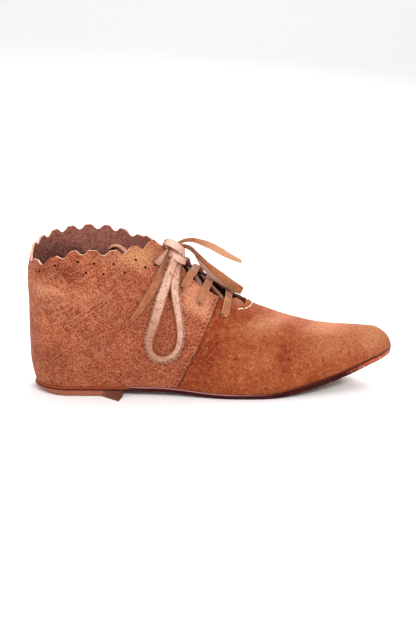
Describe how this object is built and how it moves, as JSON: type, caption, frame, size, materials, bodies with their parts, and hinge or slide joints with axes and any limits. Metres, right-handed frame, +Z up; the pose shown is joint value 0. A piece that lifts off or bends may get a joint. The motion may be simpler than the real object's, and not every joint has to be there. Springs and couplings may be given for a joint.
{
  "type": "turnshoe",
  "caption": "Right ankle-high leather turnshoe: scalloped collar, pointed upturned toe, thin sole with a heel layer, and a flat leather thong laced over a tongue and tied in a bow.",
  "frame": {"origin": "middle of the heel layer's resting face, on the floor", "axes": "+X to the toe, +Y to the foot's inner side, +Z up"},
  "size_m": [0.2958, 0.0939, 0.1268],
  "materials": {
    "upper_leather": "grained, matt to soft sheen",
    "sole_leather": "burnished edge",
    "lift_leather": "raw, matt",
    "tongue_leather": "matt",
    "thong_leather": "grain on one side, napped flesh on the other"
  },
  "bodies": {
    "root": {"upper": "upper_leather", "sole": "sole_leather", "heel_lift": "lift_leather", "tongue": "tongue_leather", "lace_cross_1": "thong_leather", "lace_cross_2": "thong_leather", "lace_cross_3": "thong_leather", "lace_bar": "thong_leather", "lace_knot": "thong_leather", "lace_loop_near": "thong_leather", "lace_loop_far": "thong_leather", "lace_end_near": "thong_leather", "lace_end_far": "thong_leather"}
  },
  "joints": []
}
